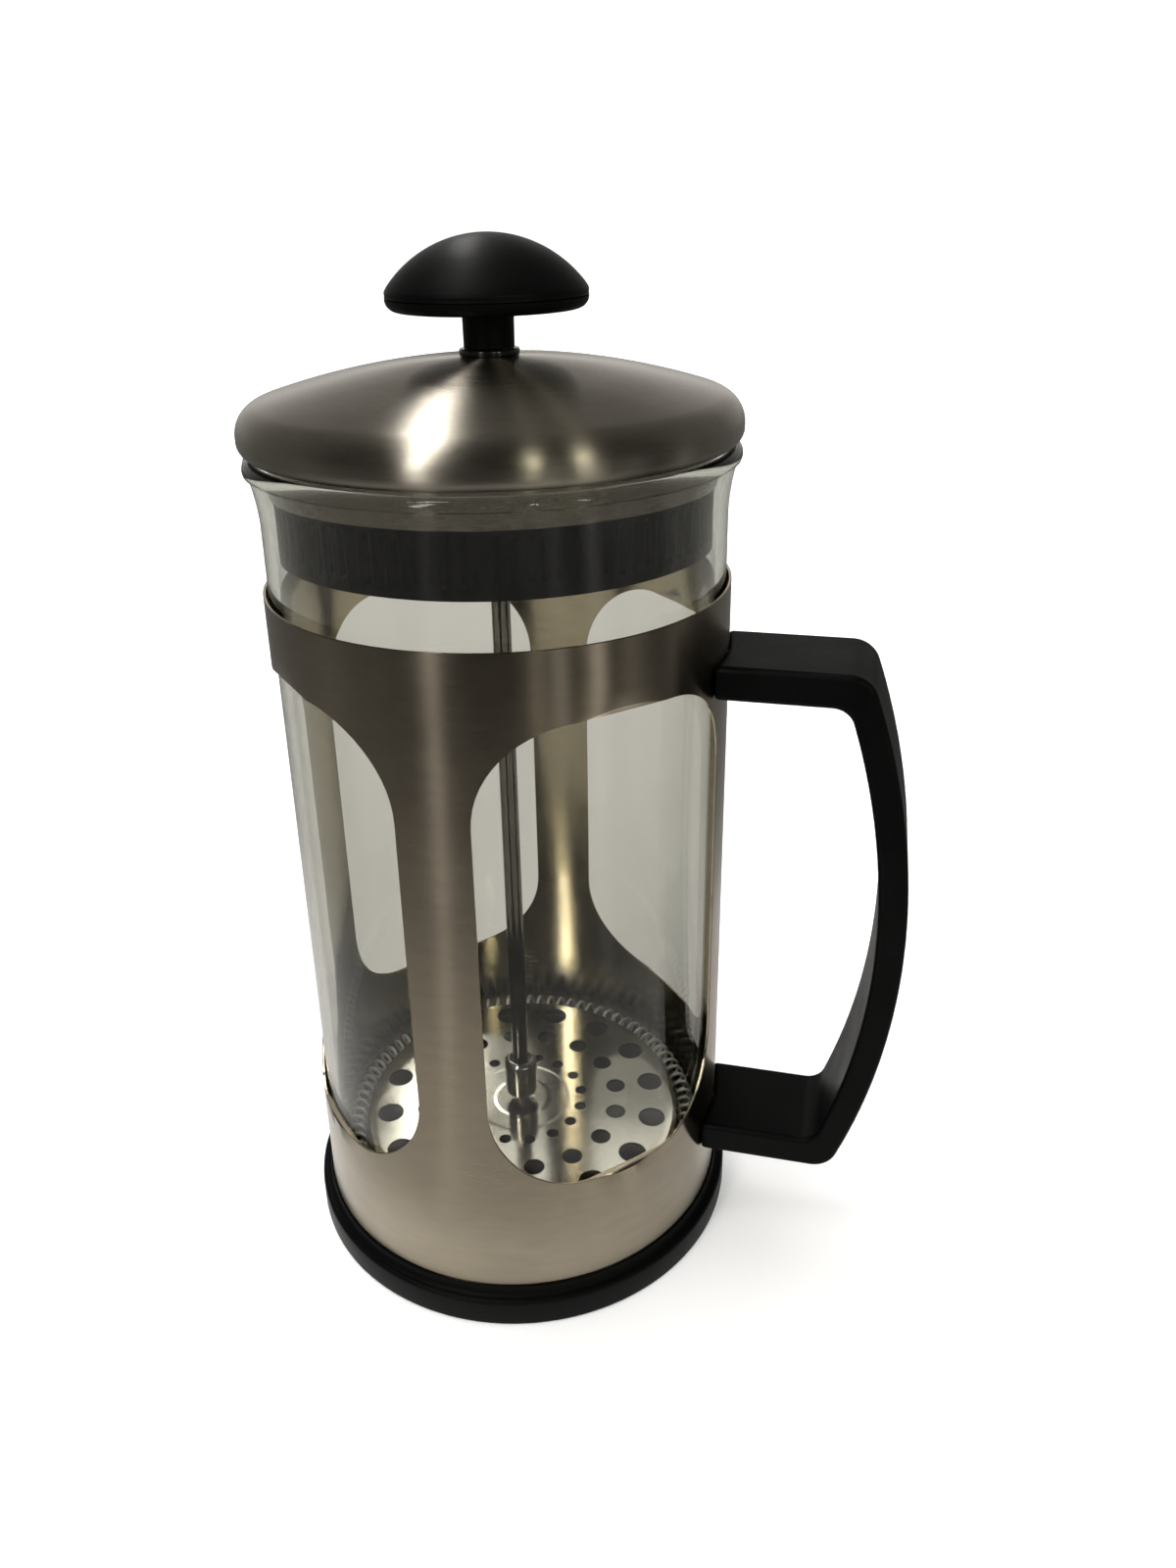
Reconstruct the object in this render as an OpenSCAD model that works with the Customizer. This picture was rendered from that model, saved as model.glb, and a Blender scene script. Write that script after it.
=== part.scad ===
// French press: glass beaker in a sheet steel holder with a bowed handle,
// a domed steel lid and a plunger with a screw-on filter and knob.
// Millimetres, +Z up, +X towards the handle, spout towards -X.
// Origin: on the axis of the beaker, at the underside of the base ring.

/* [Holder] */
// Outer radius of the sheet steel sleeve
sleeve_r = 48; // [44:0.5:56]
// Thickness of the sleeve's sheet
sleeve_t = 0.5; // [0.4:0.05:0.55]
// Height of the glass that shows above the sleeve, up to the beaker's rim
glass_show = 27.2; // [24:0.2:40]
// Height of the sleeve's upper band, above the windows
band_w = 14.4; // [10:0.2:24]
// Height of the windows' lower edge
window_low = 35.8; // [28:0.5:60]
// Corner radius of the windows
window_corner = 18; // [6:0.5:20]
// Width of the four straps between the windows, as an angle
strap_angle = 17.8; // [12:0.2:22]
// Width of the base ring's ledge outside the sleeve
ledge_w = 2.7; // [2:0.1:5]
// Height of the base ring's outer wall
base_h = 6.7; // [6:0.1:8]

/* [Handle] */
// Depth of the handle, across the bow
handle_w = 23; // [18:0.5:26]
// Thickness of the two arms
arm_t = 7.2; // [6.5:0.1:9]
// Thickness of the bowed grip
grip_t = 6; // [5:0.1:9]
// Reach of the grip's outer face beyond the sleeve
handle_out = 40; // [34:0.5:52]
// Radius of the grip's bow
bow_r = 163; // [140:1:200]
// Distance of the upper arm's top face below the sleeve's top edge
handle_drop = 13.2; // [10:0.2:18]
// Height of the lower arm's underside
handle_low = 22.6; // [20:0.2:26]

/* [Beaker] */
// Play between the beaker and the sleeve
beaker_play = 0.6; // [0.4:0.05:1]
// Thickness of the glass wall
glass_t = 2.2; // [1.8:0.1:2.6]
// Height of the beaker's rim
beaker_top = 184; // [175:0.5:190]
// Reach of the pouring lip beyond the rim
spout_reach = 5; // [3:0.5:7]

/* [Lid] */
// Height of the dome's crown above the beaker's rim
lid_rise = 16.8; // [15:0.2:20]
// Thickness of the lid's sheet
lid_t = 0.7; // [0.5:0.05:0.8]
// Number of ribs round the strainer ring
strainer_ribs = 96; // [48:4:120]

/* [Plunger] */
// Diameter of the plunger rod
rod_d = 4; // [3.5:0.1:5]
// Play of the rod in its bush, on the radius
rod_play = 0.05; // [0.03:0.01:0.1]
// Diameter of the knob
knob_d = 39; // [34:0.5:46]
// Height of the knob's crown above the lid's crown
knob_rise = 22.2; // [20:0.2:28]

/* [Filter] */
// Height of the perforated plate's top face, plunger down
plate_z = 20; // [19:0.2:22]
// Number of holes in each ring of the plate
plate_holes = 16; // [12:1:18]
// Diameter of the spring's coils
coil_d = 5; // [4:0.1:5.4]

/* [Hidden] */
$fn = 96;
e = 0.02;          // clearance that keeps fixed curved faces off each other
rest = 0.1;        // gap between flat faces of bodies that rest on each other

// holder
base_r = sleeve_r + ledge_w;
foot_w = 6;        // width of the ring that the press stands on
shelf_w = 10;      // width of the shelf that carries the beaker
shelf_t = 2;
collar_t = 0.7;
sleeve_in = sleeve_r - sleeve_t;
sleeve_low = 3;
sleeve_top = beaker_top - glass_show;
window_top = sleeve_top - band_w;
collar_top = 9;
floor_z = 5;
windows = 4;
handle_top = sleeve_top - handle_drop;
handle_reach = sleeve_r + handle_out;
upper_z = handle_top - arm_t / 2;
lower_z = handle_low + arm_t / 2;
bow_x = handle_reach - bow_r;
bow_z = (handle_top + handle_low) / 2 + 1;

// screws that hold the handle, countersunk into dimples of the sleeve
screw_r = 1.95;
head_r = 3.7;
head_x = sleeve_in - 0.15;
screw_tip = sleeve_r + 14;
dimple_t = 0.7;
insert_r = 2.7;
insert_x = sleeve_r + 3;
insert_len = 10;

// beaker
glass_r = sleeve_in - beaker_play;
glass_in = glass_r - glass_t;
glass_low = floor_z + rest;
glass_floor = glass_low + 2.6;
rim_r = glass_r + 2.5;
neck_z = beaker_top - 16;
spout_r = 9;
spout_t = 1.9;
spout_low = beaker_top - 18;
spout_lean = atan((rim_r + spout_reach - glass_r) / (beaker_top - spout_low));

// lid
lid_top = beaker_top + lid_rise;
rim_z = beaker_top + 3.1;
lid_r = rim_r + 0.2;
shoulder_r = 6;
shoulder_x = lid_r - shoulder_r;
shoulder_z = rim_z + 0.94;
crown_h = lid_top - shoulder_z;
crown_r = (crown_h * crown_h + shoulder_x * shoulder_x - shoulder_r * shoulder_r)
    / (2 * (crown_h - shoulder_r));
curl_r = 2.5;
skirt_r = glass_in - 0.4;
skirt_t = 0.6;
ring_r = glass_in - 0.8;
ring_top = beaker_top - 6.4;
ring_low = ring_top - 12.6;
rib_depth = 0.6;
rib_inset = 0.2;
band_h = 2.4;
ring_t = 2.4;
core_z = ring_top - 1.1;
core_hub_r = 8;
core_disc_t = 2.4;
nut_t = 2;
bush_r = 4;
collar_r = 5.9;
bush_top = lid_top + 1.4;
bush_low = core_z - nut_t - 0.4;

// plunger and filter
rod_r = rod_d / 2;
bore_r = rod_r + rod_play;
knob_top = lid_top + knob_rise;
rod_top = knob_top - 10;
rod_low = plate_z - 9;
hub_r = 4;
hub_low = plate_z + rest;
hub_top = plate_z + 12.5;
stem_r = 5;
stem_low = bush_top + rest;
knob_part = knob_top - 11.4;
knob_under = knob_part - 2.4;
knob_r = knob_d / 2;
knob_edge = 2.2;
knob_wall = 2;
cap_r = 24;        // radius of the dome of the knob's cap
knob_insert_r = 3.2;
plate_t = 0.6;
hole_rings = [[15, 1.45], [24, 2.4], [33, 3.2]];  // radius of each ring of holes, and of its holes
plate_drop = 4.3;  // depth of the plate's turned-down edge
plate_r = glass_in - 5.7;
coil_r = plate_r + coil_d / 2 + 0.1;
coil_z = plate_z - 0.3 - coil_d / 2;
mesh_t = 0.3;
mesh_z = coil_z - coil_d / 2 - mesh_t;
mesh_r = coil_r + 1.2;
cross_t = 1.2;
boss_r = 4.1;
spokes = 8;
spoke_w = 4;
cross_z = mesh_z - cross_t;

// points along a circular arc, angles in degrees
function arc(cx, cy, r, a0, a1, n = 12) =
    [for (i = [0:n]) let (a = a0 + (a1 - a0) * i / n) [cx + r * cos(a), cy + r * sin(a)]];

// height of a circle of radius r round [0, top - r] at distance x
function dome(top, r, x) = top - r + sqrt(r * r - x * x);

module tube(r_out, r_in, z0, z1) {
    difference() {
        translate([0, 0, z0]) cylinder(r = r_out, h = z1 - z0);
        translate([0, 0, z0 - 1]) cylinder(r = r_in, h = z1 - z0 + 2);
    }
}

// a cylinder or cone along +X at height z
module along_x(x0, x1, r0, r1, z) {
    translate([x0, 0, z]) rotate([0, 90, 0]) cylinder(r1 = r0, r2 = r1, h = x1 - x0);
}

// ---- holder ----

module base_ring() color("#17181a") rotate_extrude()
    polygon([[base_r - foot_w, 0], [base_r - 0.7, 0], [base_r, 0.8], [base_r, base_h - 0.6],
        [base_r - 0.6, base_h], [sleeve_r + collar_t, base_h], [sleeve_r + collar_t, collar_top],
        [sleeve_r + e, collar_top], [sleeve_r + e, sleeve_low], [sleeve_in - e, sleeve_low],
        [sleeve_in - e, floor_z], [sleeve_in - shelf_w, floor_z], [sleeve_in - shelf_w, floor_z - shelf_t],
        [base_r - foot_w, floor_z - shelf_t]]);

// a window as seen along its own radius
module window_outline() {
    half = sleeve_r * sin((360 / windows - strap_angle) / 2);
    c = window_corner;
    translate([-half + c, window_low]) square([2 * (half - c), window_top - window_low]);
    translate([-half, window_low + c]) square([2 * half, window_top - window_low - 2 * c]);
    for (x = [-half + c, half - c], z = [window_low + c, window_top - c]) translate([x, z]) circle(r = c);
}

module dimple(z) difference() {
    along_x(head_x, head_x + 2.3, head_r + dimple_t + 0.4, head_r + dimple_t - 1.9, z);
    along_x(head_x - 1, head_x, head_r, head_r, z);
    along_x(head_x, head_x + head_r - screw_r, head_r, screw_r, z);
    along_x(head_x, head_x + 3, screw_r, screw_r, z);
}

module frame_sleeve() color("#b9b0a4") {
    difference() {
        tube(sleeve_r, sleeve_in, sleeve_low, sleeve_top);
        for (i = [0:windows - 1])
            rotate([0, 0, (i + 0.5) * 360 / windows]) translate([sleeve_r - 10, 0, 0])
                rotate([90, 0, 90]) linear_extrude(20) window_outline();
        for (z = [upper_z, lower_z]) along_x(sleeve_r - 10, sleeve_r + 10, head_r, head_r, z);
    }
    for (z = [upper_z, lower_z]) dimple(z);
}

// outline of the handle in the XZ plane
module handle_outline() {
    corner = 5;
    inner = 4;
    inner_r = bow_r - grip_t;
    // tangent circle inside a bow of radius r whose centre is at height z
    function tangent_x(r, z) = bow_x + sqrt(r * r - (z - bow_z) * (z - bow_z));
    function tangent_a(r, z) = asin((z - bow_z) / r);
    top_c = handle_top - corner;
    low_c = handle_low + corner;
    in_top_c = handle_top - arm_t - inner;
    in_low_c = handle_low + arm_t + inner;
    start = sleeve_r - 2;
    polygon(concat(
        [[start, handle_low]],
        arc(tangent_x(bow_r - corner, low_c), low_c, corner, -90, tangent_a(bow_r - corner, low_c)),
        arc(bow_x, bow_z, bow_r, tangent_a(bow_r - corner, low_c), tangent_a(bow_r - corner, top_c), 24),
        arc(tangent_x(bow_r - corner, top_c), top_c, corner, tangent_a(bow_r - corner, top_c), 90),
        [[start, handle_top], [start, handle_top - arm_t]],
        arc(tangent_x(inner_r - inner, in_top_c), in_top_c, inner, 90, tangent_a(inner_r - inner, in_top_c)),
        arc(bow_x, bow_z, inner_r, tangent_a(inner_r - inner, in_top_c),
            tangent_a(inner_r - inner, in_low_c), 24),
        arc(tangent_x(inner_r - inner, in_low_c), in_low_c, inner,
            tangent_a(inner_r - inner, in_low_c), -90),
        [[start, handle_low + arm_t]]));
}

module handle() color("#151617") difference() {
    translate([0, handle_w / 2, 0]) rotate([90, 0, 0]) linear_extrude(handle_w) handle_outline();
    translate([0, 0, -1]) cylinder(r = sleeve_r + e, h = handle_top + 2);
    for (z = [upper_z, lower_z]) {
        along_x(head_x, head_x + 2.4, head_r + dimple_t + 0.5, head_r + dimple_t - 1.9, z);
        along_x(sleeve_r, screw_tip + 1, screw_r + 0.15, screw_r + 0.15, z);
        along_x(insert_x, insert_x + insert_len, insert_r, insert_r, z);
    }
}

module handle_screw(z) color("#9a9a98") difference() {
    union() {
        along_x(head_x, head_x + head_r - screw_r, head_r, screw_r, z);
        along_x(head_x + head_r - screw_r, screw_tip, screw_r, screw_r, z);
    }
    translate([head_x - 0.1, 0, z]) rotate([0, 90, 0]) cylinder(r = 1.25, h = 1.5, $fn = 6);
}

module threaded_insert(z) color("#b08d4a") difference() {
    along_x(insert_x, insert_x + insert_len, insert_r - e / 2, insert_r - e / 2, z);
    along_x(insert_x - 1, insert_x + insert_len + 1, screw_r + e / 2, screw_r + e / 2, z);
}

module upper_screw() handle_screw(upper_z);
module lower_screw() handle_screw(lower_z);
module upper_insert() threaded_insert(upper_z);
module lower_insert() threaded_insert(lower_z);

// ---- beaker ----

// a cylinder of radius r whose axis leans out over the rim
module spout_body(r) {
    translate([-glass_r, 0, spout_low]) rotate([0, -spout_lean, 0]) translate([spout_r, 0, -20])
        cylinder(r = r, h = 70);
}

module glass_beaker() color([0.85, 0.9, 0.88, 0.35]) difference() {
    union() {
        rotate_extrude() polygon(concat([[0, glass_low]],
            arc(glass_r - 7, glass_low + 7, 7, -90, 0, 8),
            [[glass_r, neck_z], [glass_r + 0.6, neck_z + 4], [glass_r + 1.5, neck_z + 9]],
            arc(rim_r - 1.8, beaker_top - 1.8, 1.8, -20, 90, 8),
            [[0, beaker_top]]));
        intersection() {
            spout_body(spout_r);
            translate([-rim_r - spout_reach - 5, -2 * spout_r, spout_low - 6])
                cube([4 * spout_r, 4 * spout_r, beaker_top - spout_low + 6]);
        }
    }
    rotate_extrude() polygon(concat([[0, glass_floor]],
        arc(glass_in - 5, glass_floor + 5, 5, -90, 0, 8),
        [[glass_in, neck_z], [glass_in + 0.6, neck_z + 4], [glass_in + 1.4, neck_z + 9],
            [glass_in + 1.4, beaker_top - 1.4], [glass_in + 2.4, beaker_top + 0.1], [0, beaker_top + 0.1]]));
    spout_body(spout_r - spout_t);
}

// ---- lid ----

// outline of a rolled sheet: a crown, a shoulder and a curled rim, at inset d
function lid_curve(d) = let (a = asin(shoulder_x / (crown_r - shoulder_r)))
    concat(
        [for (i = [0:12]) let (t = asin((bush_r + e) / crown_r) * (1 - i / 12) + a * i / 12)
            [(crown_r - d) * sin(t), lid_top - crown_r + (crown_r - d) * cos(t)]],
        arc(shoulder_x, shoulder_z, shoulder_r - d, 90 - a, 0, 10),
        arc(lid_r - curl_r, rim_z, curl_r - d, 0, -170, 12));

function reversed(v) = [for (i = [len(v) - 1:-1:0]) v[i]];

module lid_shell() color("#8f8a7e") rotate_extrude()
    polygon(concat(lid_curve(0), reversed(lid_curve(lid_t))));

module lid_skirt() color("#a39d92") tube(skirt_r, skirt_r - skirt_t, ring_top, rim_z + 1.5);

module lid_core() color("#1b1c1d") {
    tube(skirt_r - skirt_t - e, bush_r + e, ring_top, ring_top + core_disc_t);
    tube(core_hub_r, bush_r + e, core_z, dome(lid_top - lid_t, crown_r, core_hub_r) - e);
}

// outline of the ribs seen from above, a little inside the plain bands
module rib_outline() {
    step = 360 / strainer_ribs;
    crest = ring_r - rib_inset;
    groove = crest - rib_depth;
    polygon([for (i = [0:strainer_ribs - 1], p = [[0, crest], [0.45, crest], [0.55, groove], [0.9, groove]])
        [p[1] * cos((i + p[0]) * step), p[1] * sin((i + p[0]) * step)]]);
}

module strainer_ring() color("#1a1b1c") difference() {
    union() {
        translate([0, 0, ring_low + 1]) linear_extrude(ring_top - ring_low - 1.5) rib_outline();
        translate([0, 0, ring_low]) cylinder(r = ring_r, h = band_h);
        translate([0, 0, ring_top - 1]) cylinder(r = ring_r, h = 1);
    }
    translate([0, 0, ring_low - 1]) cylinder(r = ring_r - ring_t, h = ring_top);
}

module guide_bush() color("#121314") difference() {
    union() {
        translate([0, 0, dome(lid_top, crown_r, bush_r)]) cylinder(r = collar_r, h = bush_top - lid_top);
        translate([0, 0, bush_low]) cylinder(r = bush_r, h = bush_top - bush_low - 1);
    }
    translate([0, 0, bush_low - 1]) cylinder(r = bore_r, h = bush_top - bush_low + 2);
}

module bush_nut() color("#8c8c8a") difference() {
    translate([0, 0, core_z - nut_t]) cylinder(r = 6.5, h = nut_t, $fn = 6);
    translate([0, 0, core_z - 3]) cylinder(r = bush_r + e, h = 4);
}

// ---- plunger ----

module plunger_rod() color("#c9c6c0") {
    translate([0, 0, rod_low]) cylinder(r = rod_r, h = rod_top - rod_low);
}

module hub_nut() color("#d0cdc8") difference() {
    rotate_extrude() polygon([[0, hub_low], [hub_r - 0.5, hub_low], [hub_r, hub_low + 0.5],
        [hub_r, hub_top - 0.9], [hub_r - 0.9, hub_top], [0, hub_top]]);
    translate([0, 0, hub_low - 1]) cylinder(r = rod_r + e / 2, h = 20);
}

module knob_base() color("#141516") difference() {
    rotate_extrude() polygon(concat(
        [[0, stem_low], [stem_r - 0.3, stem_low], [stem_r, stem_low + 0.3], [stem_r, knob_under - 0.6],
            [stem_r + 0.6, knob_under]],
        arc(knob_r - knob_edge, knob_under + knob_edge, knob_edge, -90, 0, 8),
        [[knob_r, knob_part], [7.5, knob_part], [7.5, knob_part + 3], [0, knob_part + 3]]));
    translate([0, 0, stem_low - 1]) cylinder(r = rod_r + 0.3, h = 20);
    translate([0, 0, stem_low + 1.2]) cylinder(r = knob_insert_r, h = 20);
}

module knob_insert() color("#b08d4a") difference() {
    translate([0, 0, stem_low + 1.2]) cylinder(r = knob_insert_r - e / 2, h = rod_top - stem_low - 1.2);
    translate([0, 0, stem_low]) cylinder(r = bore_r, h = 20);
}

// half section of the knob's dome, at inset d
module dome_section(d) {
    edge = asin((knob_r - 0.4 - d) / cap_r);
    polygon(concat(
        [[0, knob_part], [knob_r - d, knob_part], [knob_r - d, knob_part + 0.5]],
        [for (i = [0:16]) let (a = edge * (1 - i / 16))
            [(cap_r - d) * sin(a), knob_top - cap_r + (cap_r - d) * cos(a)]]));
}

module knob_cap() color("#141516") difference() {
    rotate_extrude() dome_section(0);
    rotate_extrude() dome_section(knob_wall);
}

// ---- filter ----

module top_plate() color("#c4c1bb") difference() {
    union() {
        translate([0, 0, plate_z - plate_t]) cylinder(r = plate_r, h = plate_t);
        tube(plate_r, plate_r - plate_t, plate_z - plate_drop, plate_z);
    }
    translate([0, 0, plate_z - 2]) cylinder(r = bore_r + 0.05, h = 4);
    for (ring = hole_rings, i = [0:plate_holes - 1])
        rotate([0, 0, i * 360 / plate_holes]) translate([ring[0], 0, plate_z - 2])
            cylinder(r = ring[1], h = 4, $fn = 32);
}

// the coil spring's envelope: a hollow ring the size of its coils
module rim_spring() color("#a9a6a0") difference() {
    rotate_extrude() translate([coil_r, coil_z]) circle(d = coil_d, $fn = 32);
    rotate_extrude() translate([coil_r, coil_z]) circle(d = coil_d - 1.2, $fn = 32);
}

module mesh_disc() color("#8d8b87") tube(mesh_r, boss_r + 0.1, mesh_z, mesh_z + mesh_t);

module cross_plate() color("#b9b6b0") {
    tube(mesh_r - 0.5, mesh_r - 5, cross_z, mesh_z);
    tube(9, boss_r + 0.1, cross_z, mesh_z);
    for (i = [0:spokes - 1]) rotate([0, 0, i * 360 / spokes]) translate([8, -spoke_w / 2, cross_z])
        cube([mesh_r - 12, spoke_w, cross_t]);
}

module filter_nut() color("#b08d4a") difference() {
    union() {
        translate([0, 0, cross_z - 2.4]) cylinder(r = 6, h = 2.4);
        translate([0, 0, cross_z - 2]) cylinder(r = boss_r, h = plate_z - plate_t - cross_z + 2);
    }
    translate([0, 0, rod_low - 0.6]) cylinder(r = bore_r, h = 20);
}

base_ring();
frame_sleeve();
handle();
upper_screw();
lower_screw();
upper_insert();
lower_insert();
glass_beaker();
lid_shell();
lid_skirt();
lid_core();
strainer_ring();
guide_bush();
bush_nut();
plunger_rod();
hub_nut();
knob_base();
knob_cap();
knob_insert();
top_plate();
rim_spring();
mesh_disc();
cross_plate();
filter_nut();
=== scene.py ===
"""French press: the looks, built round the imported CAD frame. Metres, +X towards the handle."""

import math

import bmesh
import bpy
from mathutils import Matrix, Vector
from mathutils.geometry import delaunay_2d_cdt


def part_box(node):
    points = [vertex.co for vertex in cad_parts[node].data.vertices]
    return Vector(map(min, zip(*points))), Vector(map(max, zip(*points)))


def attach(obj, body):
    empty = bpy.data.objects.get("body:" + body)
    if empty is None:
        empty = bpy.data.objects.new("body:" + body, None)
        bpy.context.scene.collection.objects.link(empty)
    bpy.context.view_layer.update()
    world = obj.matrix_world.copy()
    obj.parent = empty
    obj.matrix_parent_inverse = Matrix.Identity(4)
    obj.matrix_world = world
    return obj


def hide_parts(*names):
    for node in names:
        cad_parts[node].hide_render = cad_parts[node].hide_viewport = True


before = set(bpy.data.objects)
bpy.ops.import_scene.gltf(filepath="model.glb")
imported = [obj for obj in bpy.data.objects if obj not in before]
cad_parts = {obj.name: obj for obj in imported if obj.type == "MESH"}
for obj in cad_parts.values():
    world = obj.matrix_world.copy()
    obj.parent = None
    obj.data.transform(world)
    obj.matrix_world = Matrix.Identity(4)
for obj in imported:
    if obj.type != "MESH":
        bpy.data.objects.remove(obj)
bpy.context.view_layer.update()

MM = 0.001
tau = math.tau


# ---- sizes, from the frame ----


def radius(node):
    """Outer radius of a round node on the axis."""
    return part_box(node)[1].y


def low(node):
    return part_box(node)[0].z


def top(node):
    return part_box(node)[1].z


SEAT = 0.03 * MM  # gap between plastic parts and the sleeve they hold
AXIS = 0.05 * MM  # radius where a turned outline meets the axis
SLEEVE_SHEET = 0.5 * MM
WINDOW_LOW, WINDOW_TOP, WINDOW_CORNER = 35.8 * MM, 142.4 * MM, 20.5 * MM
STRAP_ANGLE = 17.8  # degrees round the sleeve that each strap between two windows takes
LID_SHEET, SKIRT_SHEET, PLATE_SHEET = 0.7 * MM, 0.6 * MM, 0.6 * MM
CROWN_TOP = 200.8 * MM  # top of the lid's dome, at the axis
CROWN = 150 * MM  # radius of the dome
SHOULDER = 6 * MM  # radius where the dome turns down
CURL = 2.5 * MM  # radius of the lid's rolled edge
LID_HOLE = 4.05 * MM  # radius of the hole in the lid for the bush
KNOB_UNDER = 209.2 * MM  # height of the knob's flat underside
LIP_HALF_ANGLE = math.radians(17)
HOLES = 16  # in each ring of the filter plate
HOLE_RINGS = (  # radius of the ring, radius of a hole, sides of a hole
    (15 * MM, 1.45 * MM, 24), (24 * MM, 2.4 * MM, 32), (33 * MM, 3.2 * MM, 36),
)


# ---- camera ----

CAMERA_AZIMUTH = math.radians(14.19)
CAMERA_PITCH = math.radians(22.96)
CAMERA_ROLL = math.radians(-1.16)
CAMERA_PLACE = (0.07342, -0.23008, 0.22887)

camera_data = bpy.data.cameras.new("camera")
camera_data.sensor_width = 36
camera_data.lens = 27.58
camera_data.shift_x = 0.0096
camera_data.shift_y = -0.0507
camera_data.clip_start = 0.01
camera = bpy.data.objects.new("camera", camera_data)
camera.matrix_world = (
    Matrix.Translation(CAMERA_PLACE)
    @ Matrix.Rotation(CAMERA_AZIMUTH, 4, "Z")
    @ Matrix.Rotation(math.pi / 2 - CAMERA_PITCH, 4, "X")
    @ Matrix.Rotation(CAMERA_ROLL, 4, "Z")
)
bpy.context.scene.collection.objects.link(camera)
bpy.context.scene.camera = camera


# ---- node helpers ----


class Shader:
    """A material and the few node calls that every material here uses."""

    def __init__(self, name):
        self.material = bpy.data.materials.new(name)
        self.material.use_nodes = True
        self.tree = self.material.node_tree
        self.base = self.tree.nodes["Principled BSDF"]

    def node(self, kind, **settings):
        made = self.tree.nodes.new("ShaderNode" + kind)
        for key, value in settings.items():
            setattr(made, key, value)
        return made

    def link(self, source, target):
        self.tree.links.new(source, target)

    def set(self, **values):
        for key, value in values.items():
            self.base.inputs[key.replace("_", " ")].default_value = value

    def place(self):
        """Object coordinates."""
        return self.node("TexCoord").outputs["Object"]

    def coords(self, scale=(1, 1, 1)):
        """Object coordinates, scaled by axis."""
        mapping = self.node("Mapping")
        mapping.inputs["Scale"].default_value = scale
        self.link(self.place(), mapping.inputs["Vector"])
        return mapping.outputs["Vector"]

    def round_coords(self, around, along):
        """(angle * around, height * along, radius * along) round the Z axis, for brushing and knurls."""
        split = self.node("SeparateXYZ")
        self.link(self.place(), split.inputs[0])
        angle = self.math("ARCTAN2", split.outputs["Y"], split.outputs["X"])
        square = self.math("MULTIPLY", split.outputs["X"], split.outputs["X"])
        square_y = self.math("MULTIPLY", split.outputs["Y"], split.outputs["Y"])
        reach = self.math("SQRT", self.math("ADD", square, square_y))
        joined = self.node("CombineXYZ")
        self.link(self.math("MULTIPLY", angle, around), joined.inputs[0])
        self.link(self.math("MULTIPLY", split.outputs["Z"], along), joined.inputs[1])
        self.link(self.math("MULTIPLY", reach, along), joined.inputs[2])
        return joined.outputs[0]

    def math(self, operation, a, b=None):
        made = self.node("Math", operation=operation)
        for socket, value in zip(made.inputs, (a, b)):
            if value is None:
                continue
            if isinstance(value, (int, float)):
                socket.default_value = value
            else:
                self.link(value, socket)
        return made.outputs[0]

    def noise(self, vector, scale, detail=4, roughness=0.6):
        made = self.node("TexNoise")
        made.inputs["Scale"].default_value = scale
        made.inputs["Detail"].default_value = detail
        made.inputs["Roughness"].default_value = roughness
        self.link(vector, made.inputs["Vector"])
        return made.outputs["Fac"]

    def ramp(self, value, low_at, high_at, low_colour, high_colour):
        made = self.node("ValToRGB")
        ends = made.color_ramp.elements
        ends[0].position, ends[1].position = low_at, high_at
        ends[0].color, ends[1].color = (*low_colour, 1), (*high_colour, 1)
        self.link(value, made.inputs[0])
        return made.outputs[0]

    def span(self, value, low_at, high_at, low_value, high_value):
        made = self.node("MapRange")
        for key, number in zip(range(1, 5), (low_at, high_at, low_value, high_value)):
            made.inputs[key].default_value = number
        self.link(value, made.inputs[0])
        return made.outputs[0]

    def length(self, vector):
        made = self.node("VectorMath", operation="LENGTH")
        self.link(vector, made.inputs[0])
        return made.outputs["Value"]

    def bump(self, height, strength, distance):
        made = self.node("Bump")
        made.inputs["Strength"].default_value = strength
        made.inputs["Distance"].default_value = distance
        self.link(height, made.inputs["Height"])
        return made.outputs[0]

    def colour(self, socket):
        self.link(socket, self.base.inputs["Base Color"])

    def rough(self, socket):
        self.link(socket, self.base.inputs["Roughness"])

    def normal(self, socket):
        self.link(socket, self.base.inputs["Normal"])


# ---- materials ----


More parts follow.
